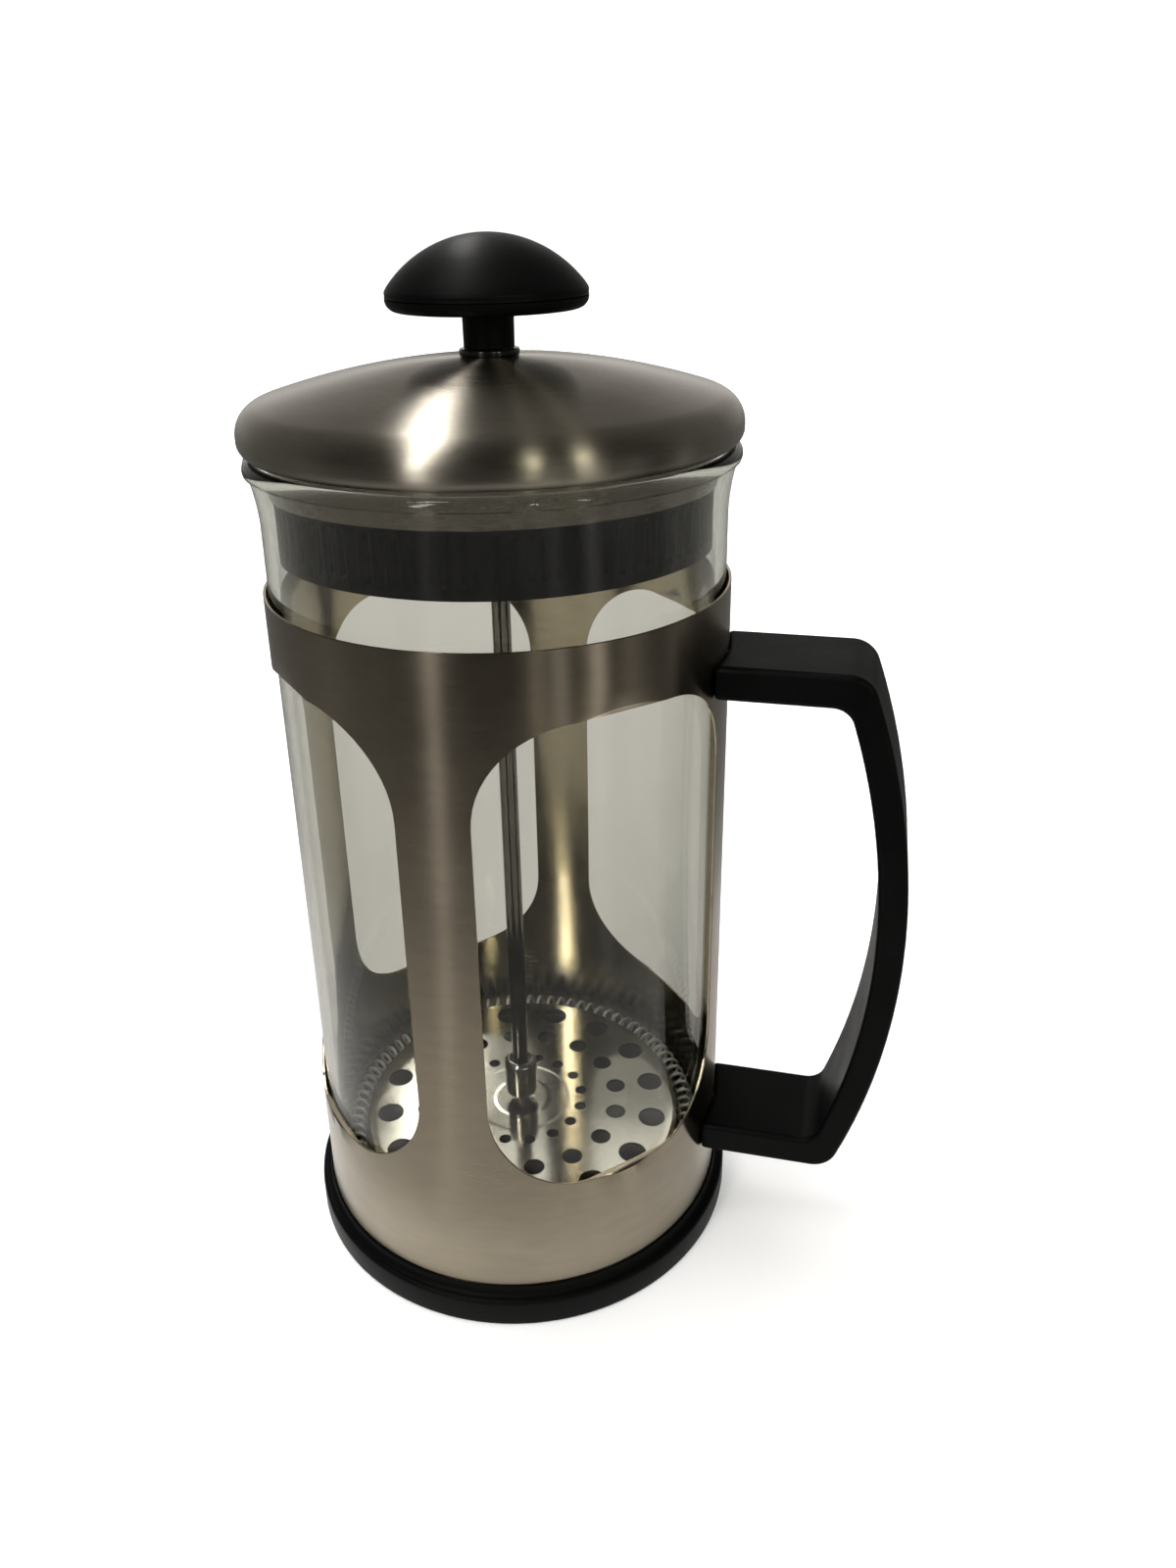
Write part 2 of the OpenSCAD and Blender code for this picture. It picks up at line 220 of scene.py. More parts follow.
def brushed_round(name, dark, light, rough, around=14, along=9000, anisotropy=0.93, wear=0.04, inside=None):
    """Sheet steel brushed round the Z axis, with faint finger marks; within the radius inside the colour is scaled
    up to 2.5 times, a painted reflection on the inner face.
    """
    s = Shader(name)
    s.set(Metallic=1.0, Anisotropic=anisotropy, Anisotropic_Rotation=0.25)
    fine = s.noise(s.round_coords(around, along), 1.0, 5, 0.75)
    broad = s.noise(s.round_coords(around / 2, along / 9), 1.0, 3, 0.6)
    marks = s.noise(s.coords(), 38, 3, 0.55)
    mixed = s.math("ADD", s.math("MULTIPLY", fine, 0.6), s.math("MULTIPLY", broad, 0.4))
    colour = s.ramp(mixed, 0.3, 0.7, dark, light)
    # painted reflection: the colour is made up to 2.5 times brighter within the radius inside
    if inside:
        flat_place = s.node("VectorMath", operation="MULTIPLY")
        flat_place.inputs[1].default_value = (1, 1, 0)
        s.link(s.place(), flat_place.inputs[0])
        step = 0.01 * MM
        painted_reflection_gain = s.span(s.length(flat_place.outputs[0]), inside - step, inside + step, 2.5, 1.0)
        bright = s.node("VectorMath", operation="SCALE")
        s.link(colour, bright.inputs[0])
        s.link(painted_reflection_gain, bright.inputs["Scale"])
        colour = bright.outputs[0]
    s.colour(colour)
    grain = s.span(fine, 0.25, 0.75, rough - wear, rough + wear)
    s.rough(s.math("ADD", grain, s.span(marks, 0.35, 0.75, -0.03, 0.05)))
    s.normal(s.bump(fine, 0.16, 0.03 * MM))
    s.link(s.node("Tangent", direction_type="RADIAL", axis="Z").outputs[0], s.base.inputs["Tangent"])
    return s.material


def plain_metal(name, colour, rough, grain_scale=900, metallic=1.0):
    """Bright metal with fine drawing marks and slight staining."""
    s = Shader(name)
    s.set(Metallic=metallic)
    stain = s.noise(s.coords(), 120, 4, 0.6)
    s.colour(s.ramp(stain, 0.3, 0.75, tuple(c * 0.86 for c in colour), colour))
    grain = s.noise(s.coords((1, 1, 0.12)), grain_scale, 3, 0.6)
    drawn = s.span(grain, 0.3, 0.7, rough * 0.8, rough * 1.25)
    s.rough(s.math("ADD", drawn, s.span(stain, 0.4, 0.7, 0, 0.05)))
    s.normal(s.bump(grain, 0.1, 0.01 * MM))
    return s.material


def moulded_plastic(name, colour, rough, grain=0.12, specular=0.45):
    """Black moulded plastic: a fine spark-eroded grain, dust and slight gloss changes."""
    s = Shader(name)
    s.set(Specular_IOR_Level=specular)
    place = s.coords()
    cloud = s.noise(place, 60, 4, 0.6)
    s.colour(s.ramp(cloud, 0.3, 0.75, tuple(c * 0.75 for c in colour), tuple(c * 1.35 for c in colour)))
    fine = s.noise(place, 2600, 2, 0.5)
    gloss = s.span(cloud, 0.3, 0.7, rough - 0.05, rough + 0.06)
    s.rough(s.math("ADD", gloss, s.span(fine, 0.3, 0.7, -0.02, 0.03)))
    s.normal(s.bump(fine, grain, 0.06 * MM))
    return s.material


def clear_glass(name):
    """Clear borosilicate glass with the faintest waviness; its grey tint and absorption are partly the glass's own
    and partly painted shade on what is seen through it.
    """
    s = Shader(name)
    s.set(Transmission_Weight=1.0, IOR=1.3, Roughness=0.0, Specular_IOR_Level=0.3)
    # tint and absorption: partly the glass's own colour, partly painted shade that dims the view through it
    s.set(Base_Color=(0.87, 0.865, 0.84, 1))
    depth = s.node("VolumeAbsorption")
    depth.inputs["Color"].default_value = (0.8, 0.815, 0.77, 1)
    depth.inputs["Density"].default_value = 200
    s.link(depth.outputs[0], s.tree.nodes["Material Output"].inputs["Volume"])
    wave = s.noise(s.coords((1, 1, 0.5)), 28, 2, 0.5)
    s.normal(s.bump(wave, 0.05, 0.4 * MM))
    return s.material


def woven_mesh(name):
    """Fine plain-weave wire cloth, drawn by two crossed waves."""
    s = Shader(name)
    s.set(Metallic=1.0)
    split = s.node("SeparateXYZ")
    s.link(s.place(), split.inputs[0])
    two_wires = 0.42 * MM
    warp = s.math("SINE", s.math("MULTIPLY", split.outputs["X"], tau / two_wires))
    weft = s.math("SINE", s.math("MULTIPLY", split.outputs["Y"], tau / two_wires))
    weave = s.math("MAXIMUM", s.math("ABSOLUTE", warp), s.math("ABSOLUTE", weft))
    s.colour(s.ramp(weave, 0.35, 0.95, (0.015, 0.014, 0.013), (0.21, 0.2, 0.185)))
    s.rough(s.span(weave, 0.3, 1.0, 0.6, 0.34))
    s.normal(s.bump(weave, 0.5, 0.1 * MM))
    return s.material


# the sleeve's inner face gets a painted reflection: its colour is brighter inside the middle of the sheet
STEEL_SLEEVE = brushed_round(
    "sleeve_brushed_steel", (0.245, 0.21, 0.158), (0.305, 0.265, 0.2), 0.22, around=10, along=4500,
    inside=radius("frame_sleeve") - SLEEVE_SHEET / 2,
)
STEEL_LID = brushed_round(
    "lid_brushed_steel", (0.265, 0.24, 0.198), (0.335, 0.308, 0.255), 0.3, around=12, along=5500, anisotropy=1.0
)
# painted shade: the skirt is a darker copy of the lid steel, where it shows through the glass neck
STEEL_SKIRT = brushed_round("skirt_steel_painted_shade", (0.1, 0.09, 0.075), (0.13, 0.118, 0.1), 0.25)
STEEL_PLATE = brushed_round(
    "plate_bright_steel", (0.7, 0.67, 0.6), (0.78, 0.75, 0.68), 0.12, around=10, along=5000,
    anisotropy=0.3, wear=0.03,
)
# painted shade: the rod steel is given a far darker colour than the hub steel
ROD_STEEL = plain_metal("rod_polished_steel_painted_shade", (0.15, 0.14, 0.12), 0.12)
HUB_STEEL = plain_metal("hub_turned_steel", (0.46, 0.44, 0.4), 0.17)
SPRING_STEEL = plain_metal("spring_wire_steel", (0.95, 0.94, 0.92), 0.3, 1500, metallic=0.5)
SCREW_STEEL = plain_metal("screw_zinc_steel", (0.5, 0.5, 0.49), 0.32, 700)
BRASS = plain_metal("turned_brass", (0.72, 0.52, 0.24), 0.3, 1200)
BLACK = moulded_plastic("black_moulded_plastic", (0.0018, 0.0021, 0.002), 0.42, specular=0.06)
BLACK_RING = moulded_plastic("strainer_moulded_plastic", (0.001, 0.0012, 0.0012), 0.5, 0.1, 0.02)
BLACK_KNOB = moulded_plastic("knob_satin_plastic", (0.0016, 0.002, 0.0017), 0.42, 0.16, 0.06)
BLACK_GLOSS = moulded_plastic("bush_gloss_plastic", (0.006, 0.006, 0.0062), 0.14, 0.02)
GLASS = clear_glass("beaker_glass")
MESH = woven_mesh("woven_steel_mesh")


# ---- mesh helpers ----


def add(name, verts, faces, material, body, replaces, smooth_angle=35):
    """A piece that rides on a body, with edges over smooth_angle kept sharp."""
    mesh = bpy.data.meshes.new(name)
    mesh.from_pydata([tuple(v) for v in verts], [], faces)
    mesh.validate()
    tidy = bmesh.new()
    tidy.from_mesh(mesh)
    bmesh.ops.recalc_face_normals(tidy, faces=tidy.faces)
    tidy.to_mesh(mesh)
    tidy.free()
    mesh.polygons.foreach_set("use_smooth", [True] * len(mesh.polygons))
    mesh.set_sharp_from_angle(angle=math.radians(smooth_angle))
    mesh.materials.append(material)
    piece = bpy.data.objects.new(name, mesh)
    bpy.context.scene.collection.objects.link(piece)
    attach(piece, body)
    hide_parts(*replaces)
    return piece


def arc(cx, cy, r, a0, a1, steps=8):
    """Points on a circular arc, angles in degrees."""
    angles = [math.radians(a0 + (a1 - a0) * i / steps) for i in range(steps + 1)]
    return [(cx + r * math.cos(a), cy + r * math.sin(a)) for a in angles]


def circle(r, sides, cx=0, cy=0):
    """Corners of a regular polygon."""
    return [(cx + r * math.cos(tau * i / sides), cy + r * math.sin(tau * i / sides)) for i in range(sides)]


def lathe(profile, turns=192, warp=None):
    """A closed (radius, height) outline turned round the Z axis; warp moves each finished point."""
    verts, faces = [], []
    count = len(profile)
    for i in range(turns):
        angle = tau * i / turns
        for r, z in profile:
            point = Vector((r * math.cos(angle), r * math.sin(angle), z))
            verts.append(warp(point) if warp else point)
    for i in range(turns):
        for j in range(count):
            a, b = i * count, (i + 1) % turns * count
            faces.append((a + j, b + j, b + (j + 1) % count, a + (j + 1) % count))
    return verts, faces


def soften(outline, width, steps=3):
    """The outline with each corner over 20 degrees rounded by a small arc of that width."""
    out = []
    count = len(outline)
    for i in range(count):
        before, at, after = (Vector(outline[j % count]) for j in (i - 1, i, i + 1))
        back, on = before - at, after - at
        if back.length < 1e-9 or on.length < 1e-9 or back.angle(on) > math.radians(160):
            out.append(tuple(at))
            continue
        reach = min(width, back.length * 0.45, on.length * 0.45)
        p, q = at + back.normalized() * reach, at + on.normalized() * reach
        for k in range(steps + 1):
            t = k / steps
            out.append(tuple(p.lerp(at, t).lerp(at.lerp(q, t), t)))
    return out


def bevel(piece, width, segments=3, angle=30):
    """A rounded edge on every corner sharper than angle."""
    made = piece.modifiers.new("edges", "BEVEL")
    made.width = width
    made.segments = segments
    made.limit_method = "ANGLE"
    made.angle_limit = math.radians(angle)


def within(point, outline):
    """True if a point lies inside a closed outline."""
    x, y = point
    inside = False
    for i in range(len(outline)):
        (x0, y0), (x1, y1) = outline[i - 1], outline[i]
        if (y0 > y) != (y1 > y) and x < x0 + (y - y0) / (y1 - y0) * (x1 - x0):
            inside = not inside
    return inside


def open_edges(triangles):
    """The directed edges that only one triangle uses."""
    met = {}
    for t in triangles:
        for edge in ((t[0], t[1]), (t[1], t[2]), (t[2], t[0])):
            met[edge] = True
    return [(a, b) for a, b in met if (b, a) not in met]


# ---- holder ----


def base_ring():
    out, height = radius("base_ring"), top("base_ring")
    sleeve = radius("frame_sleeve")
    ledge = height - 2.3 * MM
    foot, web = out - 6 * MM, out - 13.2 * MM  # inner radii of the standing ring and of the web in it
    web_low, web_top = 3 * MM, 5 * MM
    sleeve_in = sleeve - SLEEVE_SHEET - 0.02 * MM
    profile = [
        (foot, 0), (out, 0), (out, ledge), (sleeve + 0.65 * MM, ledge), (sleeve + 0.55 * MM, height),
        (sleeve + SEAT, height), (sleeve + SEAT, web_low), (sleeve_in, web_low), (sleeve_in, web_top),
        (web, web_top), (web, web_low), (foot, web_low),
    ]
    verts, faces = lathe(soften(profile, 0.9 * MM, 4))
    add("base_ring_moulded", verts, faces, BLACK, "holder", ["base_ring"])


def rounded_box(half_width, z0, z1, corner, steps=14):
    """Outline of a window: a rectangle with round corners, anticlockwise."""
    out = []
    for cx, cz, start in (
        (half_width - corner, z0 + corner, -90), (half_width - corner, z1 - corner, 0),
        (-half_width + corner, z1 - corner, 90), (-half_width + corner, z0 + corner, 180),
    ):
        out += arc(cx, cz, corner, start, start + 90, steps)
    return out


def sleeve_sheet():
    """The sleeve as flat sheet, cut, then rolled: each quarter is meshed flat and wrapped round."""
    r_out = radius("frame_sleeve")
    r_in = r_out - SLEEVE_SHEET
    z0, z1 = low("frame_sleeve"), top("frame_sleeve")
    quarter, height = r_out * tau / 4, z1 - z0
    half_window = r_out * math.radians((90 - STRAP_ANGLE) / 2)
    window = rounded_box(half_window, WINDOW_LOW, WINDOW_TOP, WINDOW_CORNER)
    columns, rows = 56, 24
    rim = [(-quarter / 2 + quarter * i / columns, z0) for i in range(columns)]
    rim += [(quarter / 2, z0 + height * i / rows) for i in range(rows)]
    rim += [(quarter / 2 - quarter * i / columns, z1) for i in range(columns)]
    rim += [(-quarter / 2, z1 - height * i / rows) for i in range(rows)]
    clear = 0.9 * MM  # gap kept between the grid and the window's edge
    inside = []
    for i in range(1, columns):
        for j in range(1, rows * 2):
            x, z = -quarter / 2 + quarter * i / columns, z0 + height * j / (rows * 2)
            near = min((Vector((x, z)) - Vector(p)).length for p in window)
            if near > clear and not within((x, z), window):
                inside.append((x, z))
    points = [Vector(p) for p in rim + window + inside]
    n_rim, n_window = len(rim), len(window)
    loops = [(i, (i + 1) % n_rim) for i in range(n_rim)]
    loops += [(n_rim + i, n_rim + (i + 1) % n_window) for i in range(n_window)]
    flat, _, triangles, *_ = delaunay_2d_cdt(points, loops, [], 0, 1e-7)
    kept = [t for t in triangles if not within(sum((flat[i] for i in t), Vector((0, 0))) / 3, window)]
    cut_edges = [
        (a, b) for a, b in open_edges(kept)
        if not all(abs(abs(flat[i].x) - quarter / 2) < 1e-7 for i in (a, b))
    ]
    size = len(flat)
    verts, faces = [], []
    for turn in range(4):
        start = len(verts)
        middle = tau * (turn + 0.5) / 4
        for r in (r_out, r_in):
            for p in flat:
                angle = middle + p.x / r_out
                verts.append((r * math.cos(angle), r * math.sin(angle), p.y))
        for t in kept:
            faces.append(tuple(start + i for i in t))
            faces.append(tuple(start + size + i for i in reversed(t)))
        for a, b in cut_edges:
            faces.append((start + a, start + b, start + size + b, start + size + a))
    piece = add("sleeve_sheet", verts, faces, STEEL_SLEEVE, "holder", ["frame_sleeve"])
    joined = bmesh.new()
    joined.from_mesh(piece.data)
    bmesh.ops.remove_doubles(joined, verts=joined.verts, dist=1e-6)
    bmesh.ops.recalc_face_normals(joined, faces=joined.faces)
    joined.to_mesh(piece.data)
    joined.free()
    piece.data.set_sharp_from_angle(angle=math.radians(35))


def handle():
    """The bowed grip and its two arms: one outline, carried across the handle's depth."""
    lo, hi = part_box("handle")
    reach, z0, z1, depth = hi.x, lo.z, hi.z, hi.y
    bow, grip, arm = 163 * MM, 6 * MM, 7.2 * MM  # radius of the bow, thickness of the grip and of an arm
    corner, inner = 6 * MM, 4.5 * MM  # radii where the grip turns into an arm
    cx, cz = reach - bow, (z0 + z1) / 2 + 1 * MM
    start = radius("frame_sleeve") - 1 * MM

    def tangent(r, z):
        """Where a circle round the bow's centre meets height z: x, and the angle there."""
        return cx + math.sqrt(r * r - (z - cz) ** 2), math.degrees(math.asin((z - cz) / r))

    thin = bow - grip
    low_x, low_a = tangent(bow - corner, z0 + corner)
    top_x, top_a = tangent(bow - corner, z1 - corner)
    in_top_x, in_top_a = tangent(thin - inner, z1 - arm - inner)
    in_low_x, in_low_a = tangent(thin - inner, z0 + arm + inner)
    straight = 6
    outline = [(start + (low_x - start) * i / straight, z0) for i in range(straight)]
    outline += arc(low_x, z0 + corner, corner, -90, low_a, 10)[:-1]
    outline += arc(cx, cz, bow, low_a, top_a, 40)[:-1]
    outline += arc(top_x, z1 - corner, corner, top_a, 90, 10)
    outline += [(top_x + (start - top_x) * i / straight, z1) for i in range(1, straight + 1)]
    outline += [(start + (in_top_x - start) * i / straight, z1 - arm) for i in range(straight)]
    outline += arc(in_top_x, z1 - arm - inner, inner, 90, in_top_a, 8)[:-1]
    outline += arc(cx, cz, thin, in_top_a, in_low_a, 40)[:-1]
    outline += arc(in_low_x, z0 + arm + inner, inner, in_low_a, -90, 8)
    outline += [(in_low_x + (start - in_low_x) * i / straight, z0 + arm) for i in range(1, straight + 1)]
    slices, count = 12, len(outline)
    sleeve = radius("frame_sleeve") + SEAT
    verts, faces = [], []
    for k in range(slices + 1):
        y = -depth + 2 * depth * k / slices
        for x, z in outline:
            end = math.sqrt(sleeve**2 - y * y)
            verts.append((end if x <= start + 1e-6 else x, y, z))
    for k in range(slices):
        for j in range(count):
            a, b = k * count, (k + 1) * count
            faces.append((a + j, a + (j + 1) % count, b + (j + 1) % count, b + j))
    faces.append(tuple(range(count)))
    faces.append(tuple(slices * count + i for i in reversed(range(count))))
    piece = add("handle_moulded", verts, faces, BLACK, "holder", ["handle"])
    bevel(piece, 1.1 * MM, 5)


# ---- beaker ----


def beaker():
    """Blown glass: a straight wall, a flared neck, a fire-polished bead and a drawn lip on -X."""
    lo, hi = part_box("glass_beaker")
    foot, rim = lo.z, hi.z
    rim_out, wall, bead_r = 49.4 * MM, 46.9 * MM, 1.75 * MM
    inner = wall - 2.2 * MM
    straight, neck = foot + 8 * MM, rim - 14 * MM
    out_top, in_top = rim - 2.4 * MM, rim - 3.6 * MM  # where the neck meets the bead
    floor = foot + 2.6 * MM
    heel, floor_corner = 7 * MM, 5 * MM
    lip_low, lip_reach = rim - 19 * MM, -lo.x - rim_out
    axis = 0.1 * MM

    def flare(z, r, reach):
        t = max(0.0, (z - neck) / (rim - neck))
        return r + reach * (t**1.9)

    outer = [(wall, straight + (neck - straight) * i / 18) for i in range(19)]
    outer += [(flare(z, wall, 2.4 * MM), z) for z in (neck + (out_top - neck) * i / 8 for i in range(1, 9))]
    bead = arc(rim_out - bead_r, rim - bead_r, bead_r, -25, 195, 16)
    inside = [(flare(z, inner, 1.9 * MM), z) for z in (in_top - (in_top - neck) * i / 8 for i in range(9))]
    inside += [(inner, neck - (neck - floor - 6 * MM) * i / 18) for i in range(1, 19)]
    profile = [(axis, foot + 0.4 * MM), (30 * MM, foot + 0.3 * MM)]
    profile += arc(wall - heel, foot + heel, heel, -90, -5, 9)
    profile += outer + bead + inside
    profile += arc(inner - floor_corner, floor + floor_corner, floor_corner, -5, -90, 8)
    profile += [(20 * MM, floor + 0.2 * MM), (axis, floor + 0.3 * MM)]

    def draw_lip(point):
        """The lip pulled out on -X, with the rim pinched in a little at both sides of it."""
        r = math.hypot(point.x, point.y)
        away = math.atan2(point.y, -point.x)
        rise = max(0.0, (point.z - lip_low) / (rim - lip_low))
        if r < inner - 2 * MM or rise <= 0:
            return point
        side = abs(away) / LIP_HALF_ANGLE
        pull = math.exp(-2.2 * side * side) * rise**1.5
        pinch = -0.10 * math.exp(-((side - 1.45) / 0.5) ** 2) * rise**1.5
        grown = r + lip_reach * (pull + pinch)
        return Vector((point.x * grown / r, point.y * grown / r, point.z))

    verts, faces = lathe(profile, 288, draw_lip)
    add("beaker_blown", verts, faces, GLASS, "beaker", ["glass_beaker"], 60)


# ---- lid ----


def lid_curve(inset):
    """The spun outline from the hole to the rolled edge, moved inwards by inset."""
    edge = radius("lid_shell")
    turn_r = edge - SHOULDER
    turn = math.asin(turn_r / (CROWN - SHOULDER))
    turn_z = CROWN_TOP - CROWN + (CROWN - SHOULDER) * math.cos(turn)
    first = math.asin(LID_HOLE / CROWN)
    out = []
    for i in range(29):
        t = first + (turn - first) * i / 28
        out.append(((CROWN - inset) * math.sin(t), CROWN_TOP - CROWN + (CROWN - inset) * math.cos(t)))
    out += arc(turn_r, turn_z, SHOULDER - inset, 90 - math.degrees(turn), 0, 14)[1:]
    out += arc(edge - CURL, low("lid_shell") + CURL, CURL - inset, 0, -170, 14)
    return out


def lid_shell():
    verts, faces = lathe(lid_curve(0) + lid_curve(LID_SHEET)[::-1], 256)
    add("lid_spun_shell", verts, faces, STEEL_LID, "lid", ["lid_shell"], 50)


def lid_skirt():
    r = radius("lid_skirt")
    z0, z1 = low("lid_skirt"), top("lid_skirt")
    profile = [(r, z0), (r, z1), (r - SKIRT_SHEET, z1), (r - SKIRT_SHEET, z0)]
    verts, faces = lathe(soften(profile, 0.2 * MM, 2))
    add("lid_skirt_sheet", verts, faces, STEEL_SKIRT, "lid", ["lid_skirt"])


def strainer():
    """The ribbed plastic ring: upright round-crested ribs between plain bands."""
    ribs, per_rib = 96, 8
    r = radius("strainer_ring")
    inner = r - 2.4 * MM
    z0, z1 = low("strainer_ring"), top("strainer_ring")
    depth, crest = 0.65 * MM, 0.15 * MM  # of a groove, and of a rib's crest below the bands
    levels = [(z0, 0), (z0 + 2.2 * MM, 0), (z0 + 2.8 * MM, 1), (z1 - 1.6 * MM, 1), (z1 - 1.0 * MM, 0), (z1, 0)]
    verts, faces = [], []
    turns = ribs * per_rib
    column = len(levels) + 2
    for i in range(turns):
        angle = tau * i / turns
        phase = i % per_rib / per_rib
        groove = depth * (0.5 - 0.5 * math.cos(tau * phase)) ** 1.6
        for z, ribbed in levels:
            reach = r - (groove + crest) * ribbed
            verts.append((reach * math.cos(angle), reach * math.sin(angle), z))
        for z in (z1, z0):
            verts.append((inner * math.cos(angle), inner * math.sin(angle), z))
    for i in range(turns):
        a, b = i * column, (i + 1) % turns * column
        for j in range(column):
            k = (j + 1) % column
            faces.append((a + j, b + j, b + k, a + k))
    add("strainer_ribbed", verts, faces, BLACK_RING, "lid", ["strainer_ring"], 40)


def guide_bush():
    bore, barrel, flange = 2.06 * MM, 4 * MM, 5.9 * MM
    z0, z1, under = low("guide_bush"), top("guide_bush"), CROWN_TOP - 0.1 * MM
    profile = [(bore, z1), (flange, z1), (flange, under), (barrel, under), (barrel, z0), (bore, z0)]
    verts, faces = lathe(soften(profile, 0.45 * MM, 3), 96)
    add("bush_moulded", verts, faces, BLACK_GLOSS, "lid", ["guide_bush"])


# ---- plunger ----


def knob_parts():
    """The knob in two mouldings: a base with a flared stem, and a domed cap, parted by a fine groove."""
    r, z_top = radius("knob_base"), top("knob_cap")
    part, stem_low = low("knob_cap"), low("knob_base")
    dome, groove, land = 24 * MM, 0.14 * MM, r - 0.35 * MM
    bore, bore_top, stem = 3.3 * MM, stem_low + 6 * MM, 4.95 * MM
    flare, edge_r = 1.2 * MM, 2.3 * MM
    profile = [(AXIS, bore_top), (bore, bore_top), (bore, stem_low), (stem, stem_low)]
    profile += [(5.0 * MM, KNOB_UNDER - flare)]
    profile += arc(5.0 * MM + flare, KNOB_UNDER - flare, flare, 180, 90, 5)[1:]
    profile += arc(r - edge_r, KNOB_UNDER + edge_r, edge_r, -90, 0, 9)
    profile += [(r, part - groove), (land, part), (AXIS, part)]
    verts, faces = lathe(profile, 160)
    add("knob_base_moulded", verts, faces, BLACK_KNOB, "knob", ["knob_base"], 50)
    profile = [(AXIS, part + 0.02 * MM), (land, part + 0.02 * MM), (r - 0.02 * MM, part + groove)]
    profile += arc(r - 1.2 * MM, part + 0.95 * MM, 1.18 * MM, -20, 40, 4)
    edge = math.asin(land / dome) * 0.975
    for i in range(25):
        a = edge * (1 - i / 24)
        profile.append((max(AXIS, dome * math.sin(a)), z_top - dome + dome * math.cos(a)))
    verts, faces = lathe(profile, 160)
    add("knob_cap_moulded", verts, faces, BLACK_KNOB, "knob", ["knob_cap"], 50)


def rod():
    r = radius("plunger_rod")
    z0, z1 = low("plunger_rod"), top("plunger_rod")
    verts, faces = lathe(soften([(AXIS, z0), (r, z0), (r, z1), (AXIS, z1)], 0.4 * MM, 3), 64)
    add("rod_drawn", verts, faces, ROD_STEEL, "plunger", ["plunger_rod"])


def hub():
    """The hub nut: a turned sleeve with a counterbored top and a coned foot."""
    r = radius("hub_nut")
    z0, z1 = low("hub_nut"), top("hub_nut")
    bore = radius("plunger_rod") + 0.02 * MM
    profile = [
        (bore, z0), (r * 0.62, z0), (r * 0.66, z0 + 0.5 * MM), (r, z0 + 3.1 * MM), (r, z1 - 0.9 * MM),
        (r - 0.9 * MM, z1), (bore + 0.75 * MM, z1), (bore + 0.45 * MM, z1 - 1.4 * MM), (bore, z1 - 1.5 * MM),
    ]
    verts, faces = lathe(soften(profile, 0.25 * MM, 3), 96)
    add("hub_turned", verts, faces, HUB_STEEL, "plunger", ["hub_nut"])


# ---- filter ----


def plate_height(r, top_z):
    """Height of the pressed plate at radius r: a flat seat for the hub, a sunk ring round it, a flat field."""
    sunk_in, sunk_out, depth, step = 6.8 * MM, 11.6 * MM, 0.04 * MM, 0.09 * MM
    outer = 1 / (1 + math.exp((r - sunk_out) / step))
    inner = 1 / (1 + math.exp((r - sunk_in) / step))
    return top_z - depth * (outer - inner)


def in_hole(p):
    """True if a point of the plate lies in one of its holes."""
    sector = tau / HOLES
    turn = (math.atan2(p.y, p.x) + sector / 2) % sector - sector / 2
    x, y = p.length * math.cos(turn), p.length * math.sin(turn)
    return any(Vector((x - ring, y)).length < hole * 0.995 for ring, hole, _ in HOLE_RINGS)


